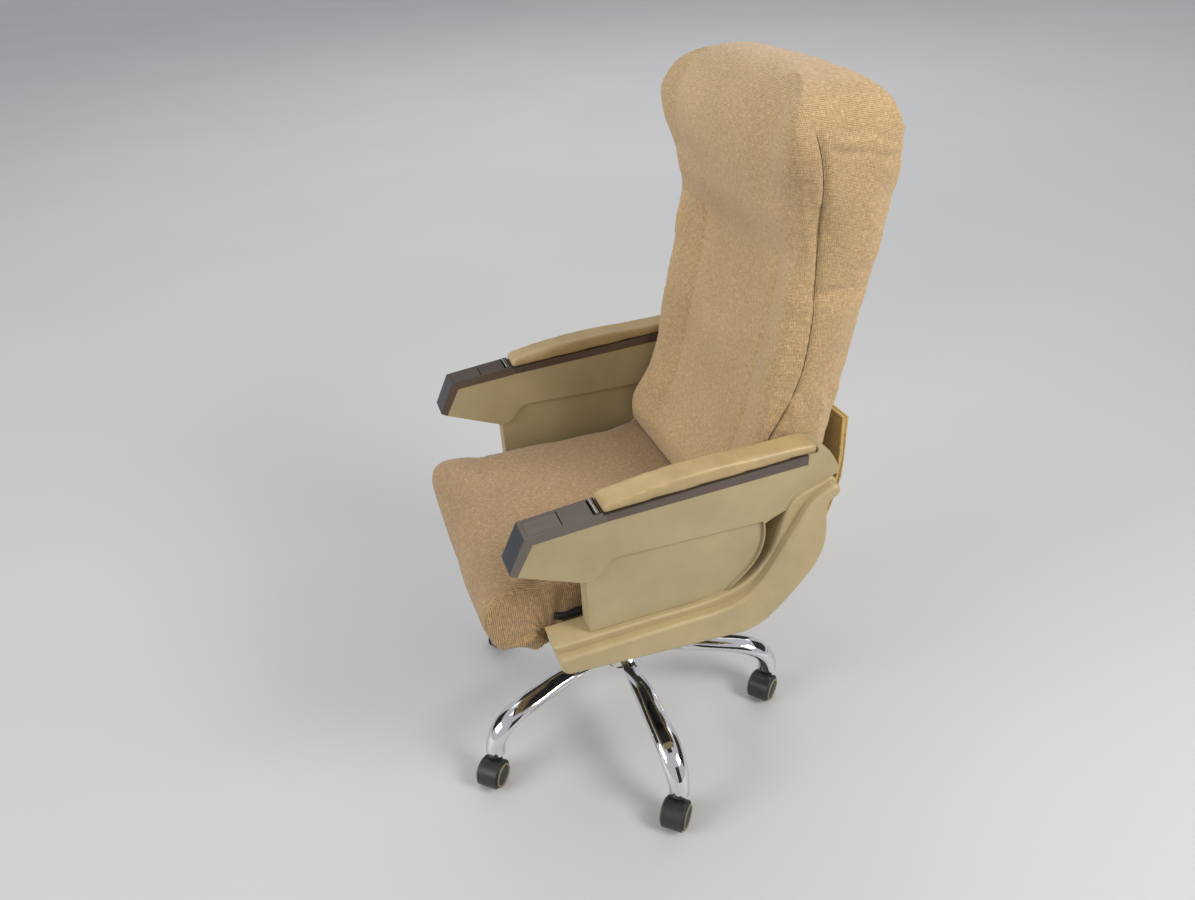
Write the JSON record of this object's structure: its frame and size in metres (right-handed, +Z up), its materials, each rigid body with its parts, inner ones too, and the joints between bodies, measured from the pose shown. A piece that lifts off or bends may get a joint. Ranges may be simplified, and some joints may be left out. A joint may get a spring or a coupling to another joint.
{
  "type": "swivel armchair",
  "caption": "High-backed fabric armchair with moulded arms on a gas-lift swivel column and a star base with twin-wheel casters.",
  "frame": {"origin": "point on the floor under the swivel axis", "axes": "+Z up; the sitter faces -Y; the sitter's left is +X"},
  "size_m": [0.6308, 0.7018, 1.202],
  "materials": {
    "black_plastic": "satin",
    "steel": "machined",
    "wheel_black": "matte",
    "chrome": "mirror polished",
    "black_metal": "powder coat",
    "seat_fabric": "ribbed weave",
    "back_fabric": "linen-like weave",
    "skirt_fabric": "weave with piping",
    "nose_metal": "brushed",
    "lid_metal": "brushed",
    "bar_metal": "satin",
    "strip_metal": "satin",
    "pad_vinyl": "smooth vinyl",
    "panel_plastic": "matte",
    "pod_plastic": "satin"
  },
  "bodies": {
    "base": {"base_hub": "chrome", "base_leg_1": "chrome", "base_leg_2": "chrome", "base_leg_3": "chrome", "base_leg_4": "chrome", "base_leg_5": "chrome", "caster_sockets": "black_plastic", "gas_lift_tube": "black_metal", "gas_lift_bush": "black_plastic", "thrust_bearing": "steel"},
    "column": {"gas_lift_piston_rod": "steel"},
    "mechanism": {"gas_lift_cylinder": "chrome", "mechanism_housing": "black_metal", "tilt_pivot_shaft": "steel", "tilt_spring": "steel"},
    "knob": {"tension_knob": "black_plastic"},
    "lever": {"height_lever": "black_metal"},
    "seat": {"seat_plate": "black_metal", "seat_cross_tubes": "black_metal", "seat_pan": "black_plastic", "seat_cushion": "seat_fabric", "armrest_pad_left": "pad_vinyl", "armrest_pad_right": "pad_vinyl", "nose_cap_left": "nose_metal", "nose_cap_right": "nose_metal", "arm_trim_strips": "strip_metal", "arm_panel_left": "panel_plastic", "arm_panel_right": "panel_plastic", "arm_pod_left": "pod_plastic", "arm_pod_right": "pod_plastic", "recline_strut": "black_metal"},
    "lid_left": {"ashtray_lid_left": "lid_metal"},
    "lid_right": {"ashtray_lid_right": "lid_metal"},
    "bar_left": {"recline_bar_left": "bar_metal"},
    "bar_right": {"recline_bar_right": "bar_metal"},
    "back": {"back_cushion": "back_fabric", "back_frame": "black_metal", "back_shell": "panel_plastic", "rear_skirt": "skirt_fabric"},
    "strut_rod": {"recline_strut_rod": "steel"},
    "caster_1": {"caster_hood_1": "black_plastic", "caster_pins_1": "steel"},
    "wheel_left_1": {"caster_wheel_left_1": "wheel_black"},
    "wheel_right_1": {"caster_wheel_right_1": "wheel_black"},
    "caster_2": {"caster_hood_2": "black_plastic", "caster_pins_2": "steel"},
    "wheel_left_2": {"caster_wheel_left_2": "wheel_black"},
    "wheel_right_2": {"caster_wheel_right_2": "wheel_black"},
    "caster_3": {"caster_hood_3": "black_plastic", "caster_pins_3": "steel"},
    "wheel_left_3": {"caster_wheel_left_3": "wheel_black"},
    "wheel_right_3": {"caster_wheel_right_3": "wheel_black"},
    "caster_4": {"caster_hood_4": "black_plastic", "caster_pins_4": "steel"},
    "wheel_left_4": {"caster_wheel_left_4": "wheel_black"},
    "wheel_right_4": {"caster_wheel_right_4": "wheel_black"},
    "caster_5": {"caster_hood_5": "black_plastic", "caster_pins_5": "steel"},
    "wheel_left_5": {"caster_wheel_left_5": "wheel_black"},
    "wheel_right_5": {"caster_wheel_right_5": "wheel_black"}
  },
  "joints": [
    {"name": "seat_swivel", "type": "hinge", "parent": "base", "child": "column", "pos_m": [0, 0, 0.11], "axis": [0, 0, 1], "continuous": true},
    {"name": "height_slide", "type": "slide", "parent": "column", "child": "mechanism", "axis": [0, 0, 1], "range_m": [-0.04, 0.05]},
    {"name": "tension_knob_turn", "type": "hinge", "parent": "mechanism", "child": "knob", "pos_m": [0, -0.072, 0.35], "axis": [0, 0, 1], "continuous": true},
    {"name": "height_lever_lift", "type": "hinge", "parent": "mechanism", "child": "lever", "pos_m": [-0.056, -0.04, 0.385], "axis": [0, 1, 0], "range_deg": [0, 4], "stiffness_Nm_per_rad": 6, "springref_deg": -6.88},
    {"name": "seat_tilt", "type": "hinge", "parent": "mechanism", "child": "seat", "pos_m": [0, -0.105, 0.398], "axis": [-1, 0, 0], "range_deg": [0, 10], "stiffness_Nm_per_rad": 260, "springref_deg": -28.65},
    {"name": "ashtray_lid_left_open", "type": "hinge", "parent": "seat", "child": "lid_left", "pos_m": [0.245, -0.16, 0.6649], "axis": [-1, 0, 0], "range_deg": [0, 95]},
    {"name": "ashtray_lid_right_open", "type": "hinge", "parent": "seat", "child": "lid_right", "pos_m": [-0.245, -0.16, 0.6649], "axis": [-1, 0, 0], "range_deg": [0, 95]},
    {"name": "recline_bar_left_press", "type": "slide", "parent": "seat", "child": "bar_left", "axis": [0, 0, -1], "range_m": [0, 0.003], "stiffness_N_per_m": 500, "springref_m": -0.002},
    {"name": "recline_bar_right_press", "type": "slide", "parent": "seat", "child": "bar_right", "axis": [0, 0, -1], "range_m": [0, 0.003], "stiffness_N_per_m": 500, "springref_m": -0.002},
    {"name": "back_recline", "type": "hinge", "parent": "seat", "child": "back", "pos_m": [0, 0.2, 0.47], "axis": [-1, 0, 0], "range_deg": [0, 15]},
    {"name": "strut_slide", "type": "slide", "parent": "seat", "child": "strut_rod", "axis": [0, -1, 0], "range_m": [0, 0.0145]},
    {"name": "caster_swivel_1", "type": "hinge", "parent": "base", "child": "caster_1", "pos_m": [0.0892, -0.28119, 0.06], "axis": [0, 0, 1], "continuous": true},
    {"name": "wheel_left_1_roll", "type": "hinge", "parent": "caster_1", "child": "wheel_left_1", "pos_m": [0.1048, -0.29524, 0.025], "axis": [0.6691, 0.7431, 0], "continuous": true},
    {"name": "wheel_right_1_roll", "type": "hinge", "parent": "caster_1", "child": "wheel_right_1", "pos_m": [0.1048, -0.29524, 0.025], "axis": [0.6691, 0.7431, 0], "continuous": true},
    {"name": "caster_swivel_2", "type": "hinge", "parent": "base", "child": "caster_2", "pos_m": [0.29499, -0.00206, 0.06], "axis": [0, 0, 1], "continuous": true},
    {"name": "wheel_left_2_roll", "type": "hinge", "parent": "caster_2", "child": "wheel_left_2", "pos_m": [0.3106, -0.01611, 0.025], "axis": [0.6691, 0.7431, 0], "continuous": true},
    {"name": "wheel_right_2_roll", "type": "hinge", "parent": "caster_2", "child": "wheel_right_2", "pos_m": [0.3106, -0.01611, 0.025], "axis": [0.6691, 0.7431, 0], "continuous": true},
    {"name": "caster_swivel_3", "type": "hinge", "parent": "base", "child": "caster_3", "pos_m": [0.09312, 0.27992, 0.06], "axis": [0, 0, 1], "continuous": true},
    {"name": "wheel_left_3_roll", "type": "hinge", "parent": "caster_3", "child": "wheel_left_3", "pos_m": [0.10605, 0.26337, 0.025], "axis": [0.788, 0.6157, 0], "continuous": true},
    {"name": "wheel_right_3_roll", "type": "hinge", "parent": "caster_3", "child": "wheel_right_3", "pos_m": [0.10605, 0.26337, 0.025], "axis": [0.788, 0.6157, 0], "continuous": true},
    {"name": "caster_swivel_4", "type": "hinge", "parent": "base", "child": "caster_4", "pos_m": [-0.23744, 0.17506, 0.06], "axis": [0, 0, 1], "continuous": true},
    {"name": "wheel_left_4_roll", "type": "hinge", "parent": "caster_4", "child": "wheel_left_4", "pos_m": [-0.21771, 0.16788, 0.025], "axis": [0.342, 0.9397, 0], "continuous": true},
    {"name": "wheel_right_4_roll", "type": "hinge", "parent": "caster_4", "child": "wheel_right_4", "pos_m": [-0.21771, 0.16788, 0.025], "axis": [0.342, 0.9397, 0], "continuous": true},
    {"name": "caster_swivel_5", "type": "hinge", "parent": "base", "child": "caster_5", "pos_m": [-0.23986, -0.17173, 0.06], "axis": [0, 0, 1], "continuous": true},
    {"name": "wheel_left_5_roll", "type": "hinge", "parent": "caster_5", "child": "wheel_left_5", "pos_m": [-0.24351, -0.19241, 0.025], "axis": [0.9848, -0.1736, 0], "continuous": true},
    {"name": "wheel_right_5_roll", "type": "hinge", "parent": "caster_5", "child": "wheel_right_5", "pos_m": [-0.24351, -0.19241, 0.025], "axis": [0.9848, -0.1736, 0], "continuous": true}
  ],
  "couplings": [
    {"joint": "strut_slide", "follows": "back_recline", "m_per_rad": 0.055}
  ]
}
